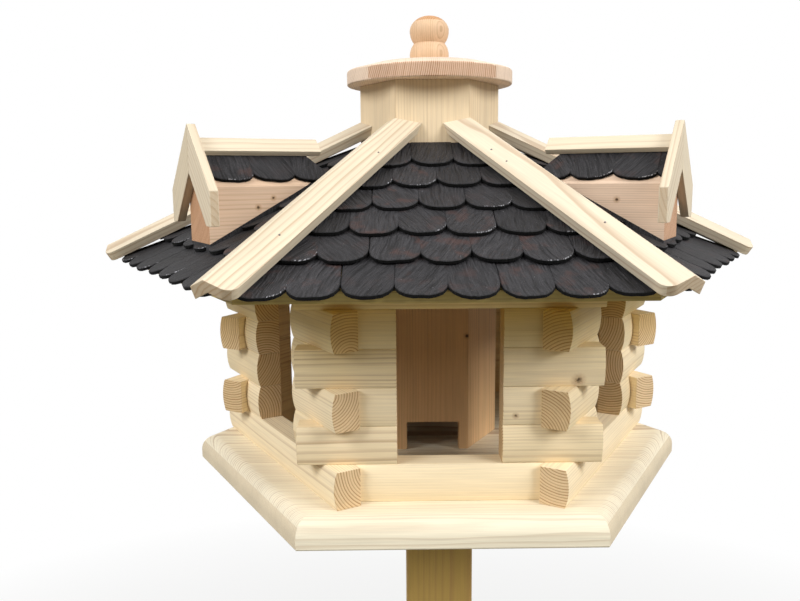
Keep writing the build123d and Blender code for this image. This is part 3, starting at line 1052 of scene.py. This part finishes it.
class FEEDER_OT_lid(Operator):
    """Turn the lid and its knob"""

    bl_idname = "feeder.lid"
    bl_label = "Lid and Knob"

    lid_edge: length_setting("Lid Edge", "Rounding of the lid's edges", 0.0015)
    plug_edge: length_setting("Plug Edge", "Rounding of the plug's edges", 0.001)
    steps: IntProperty(name="Steps", description="Faces round the knob", default=48, min=12)

    def execute(self, context):
        for node, edge, segments, pith in (
            ("lid", self.lid_edge, 3, (0.13, 0.15)),
            ("lid_plug", self.plug_edge, 2, (0.1, 0.12)),
        ):
            timber_copy(node, TO_BACK, "lid_pine", LIFTED, edge, segments, pith=pith, angles=(170, 176))
        self.knob()
        return {"FINISHED"}

    def knob(self):
        low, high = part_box("knob")
        radius = (high.x - low.x) / 2
        tall = high.z - low.z
        lower_at = KNOB_LOWER * tall
        upper_at = KNOB_UPPER * tall
        bm = bmesh.new()
        outline = [AXIS + Vector((0, 0, low.z))]
        for number in range(KNOB_RINGS + 1):
            up = KNOB_NECK * tall * number / KNOB_RINGS
            out = radius * sqrt(1 - ((up - lower_at) / (KNOB_LOWER_HALF * tall)) ** 2)
            outline.append(AXIS + Vector((out, 0, low.z + up)))
        for number in range(1, KNOB_RINGS + 1):
            angle = -KNOB_TURN + number * (pi / 2 + KNOB_TURN) / KNOB_RINGS
            half = KNOB_UPPER_HALF * tall if angle < 0 else tall - upper_at
            outline.append(AXIS + Vector((radius * cos(angle), 0, low.z + upper_at + half * sin(angle))))
        verts = [bm.verts.new(point) for point in outline]
        edges = [bm.edges.new(pair) for pair in zip(verts, verts[1:])]
        turning = {"cent": AXIS, "axis": UP, "angle": 2 * pi, "steps": self.steps, "use_merge": True}
        bmesh.ops.spin(bm, geom=verts + edges, **turning)
        bmesh.ops.remove_doubles(bm, verts=bm.verts, dist=0.00001)
        bmesh.ops.recalc_face_normals(bm, faces=bm.faces)
        lay_grain(bm, "knob", UP, pith=(0.02, 0.03), angles=(200, 240))
        finished(bm, "knob_turned", "knob_wood", LIFTED, ["knob"], 60)


class FEEDER_OT_stage(Operator):
    """Set up the floor, the lamps and the camera"""

    bl_idname = "feeder.stage"
    bl_label = "Stage"

    eye: FloatVectorProperty(
        name="Eye",
        description="Place of the camera",
        subtype="TRANSLATION",
        unit="LENGTH",
        default=(-0.0462, -0.8258, 1.5021),
    )
    yaw: angle_setting("Yaw", "Turn of the camera to the right of the Y axis", 0.0077)
    pitch: angle_setting("Pitch", "Tilt of the camera over the horizon", -0.1568)
    roll: angle_setting("Roll", "Turn of the camera round its own axis", -0.0082)

    def execute(self, context):
        stage = context.scene.feeder_stage
        context.scene.camera = self.camera(stage)
        self.floor(stage)
        context.scene.world = self.world(stage)
        self.lamp("key_lamp", (2.2, -1.7, 3.1), stage.key, stage.lamp_size)
        self.lamp("fill_lamp", (-2.2, -1.6, 3.1), stage.key * stage.fill, stage.lamp_size)
        context.scene.view_settings.view_transform = "Standard"
        return {"FINISHED"}

    def camera(self, stage):
        camera = added("camera", bpy.data.cameras.new("camera"))
        turn = Matrix.Rotation(-self.yaw, 3, "Z") @ Matrix.Rotation(pi / 2 + self.pitch, 3, "X")
        camera.rotation_euler = (turn @ Matrix.Rotation(self.roll, 3, "Z")).to_euler()
        camera.location = self.eye
        camera.data.lens = stage.lens
        camera.data.sensor_width = 36
        return camera

    def floor(self, stage):
        bm = bmesh.new()
        bmesh.ops.create_grid(bm, x_segments=1, y_segments=1, size=20)
        floor = added("floor", mesh_of(bm, "floor"))
        material, tree, shader = new_material("pale_floor")
        path = place(tree, "ShaderNodeLightPath").outputs
        colours = solid(stage.floor_colour), solid(stage.ground_colour)
        tree.links.new(blended(tree, path["Is Diffuse Ray"], *colours), shader.inputs["Base Color"])
        shader.inputs["Roughness"].default_value = 0.9
        distance = vector_maths(tree, "LENGTH", object_place(tree))["Value"]
        far = spread(tree, distance, stage.plain_until, stage.white_from)
        seen = maths(tree, "MULTIPLY", far, path["Is Camera Ray"])
        white = place(tree, "ShaderNodeEmission", {"Color": WHITE, "Strength": 1.0}).outputs[0]
        mixed = place(tree, "ShaderNodeMixShader", {0: seen, 1: shader.outputs[0], 2: white}).outputs[0]
        tree.links.new(mixed, tree.nodes["Material Output"].inputs["Surface"])
        floor.data.materials.append(material)

    def world(self, stage):
        world = bpy.data.worlds.new("soft_sky")
        world.use_nodes = True
        tree = world.node_tree
        path = place(tree, "ShaderNodeLightPath").outputs
        rays = [path[f"Is {kind} Ray"] for kind in ("Camera", "Glossy", "Transmission")]
        shown = maths(tree, "MAXIMUM", *rays)
        towards = place(tree, "ShaderNodeTexCoord").outputs["Generated"]
        up = place(tree, "ShaderNodeSeparateXYZ", {0: towards}).outputs[2]
        height = spread(tree, up, 0.25, 0.7, stage.horizon, stage.sky)
        lit = place(tree, "ShaderNodeBackground", {"Color": WHITE, "Strength": height}).outputs[0]
        white = place(tree, "ShaderNodeBackground", {"Color": WHITE, "Strength": 1.0}).outputs[0]
        mixed = place(tree, "ShaderNodeMixShader", {0: shown, 1: lit, 2: white}).outputs[0]
        tree.links.new(mixed, tree.nodes["World Output"].inputs["Surface"])
        return world

    def lamp(self, name, spot, power, size):
        data = bpy.data.lights.new(name, "AREA")
        data.energy = power
        data.size = size
        lamp = added(name, data)
        lamp.location = spot
        aim = Vector((0, 0, FLOOR + 0.1)) - Vector(spot)
        lamp.rotation_euler = aim.to_track_quat("-Z", "Y").to_euler()


PIECES = (
    FEEDER_OT_post_and_base,
    FEEDER_OT_walls,
    FEEDER_OT_silo,
    FEEDER_OT_roof_boards,
    FEEDER_OT_shingles,
    FEEDER_OT_hip_battens,
    FEEDER_OT_dormers,
    FEEDER_OT_lid,
    FEEDER_OT_stage,
)
SETTINGS = {
    "feeder_timber": FeederTimberSettings,
    "feeder_roof": FeederRoofSettings,
    "feeder_stage": FeederStageSettings,
}


class FEEDER_PT_sidebar(Panel):
    """Lists the pieces of the bird feeder and their settings"""

    bl_idname = "FEEDER_PT_sidebar"
    bl_label = "Bird Feeder"
    bl_space_type = "VIEW_3D"
    bl_region_type = "UI"
    bl_category = "Feeder"

    def draw(self, context):
        for operator in PIECES:
            self.layout.operator(operator.bl_idname)
        for name, settings in SETTINGS.items():
            column = self.layout.column(align=True)
            for value in settings.__annotations__:
                column.prop(getattr(context.scene, name), value)


CLASSES = (*SETTINGS.values(), *PIECES, FEEDER_PT_sidebar)


def register():
    for each in CLASSES:
        bpy.utils.register_class(each)
    for name, settings in SETTINGS.items():
        setattr(bpy.types.Scene, name, PointerProperty(type=settings))


def unregister():
    for name in SETTINGS:
        delattr(bpy.types.Scene, name)
    for each in reversed(CLASSES):
        bpy.utils.unregister_class(each)


def main():
    register()
    for operator in PIECES:
        group, name = operator.bl_idname.split(".")
        getattr(getattr(bpy.ops, group), name)()


if __name__ == "__main__":
    main()
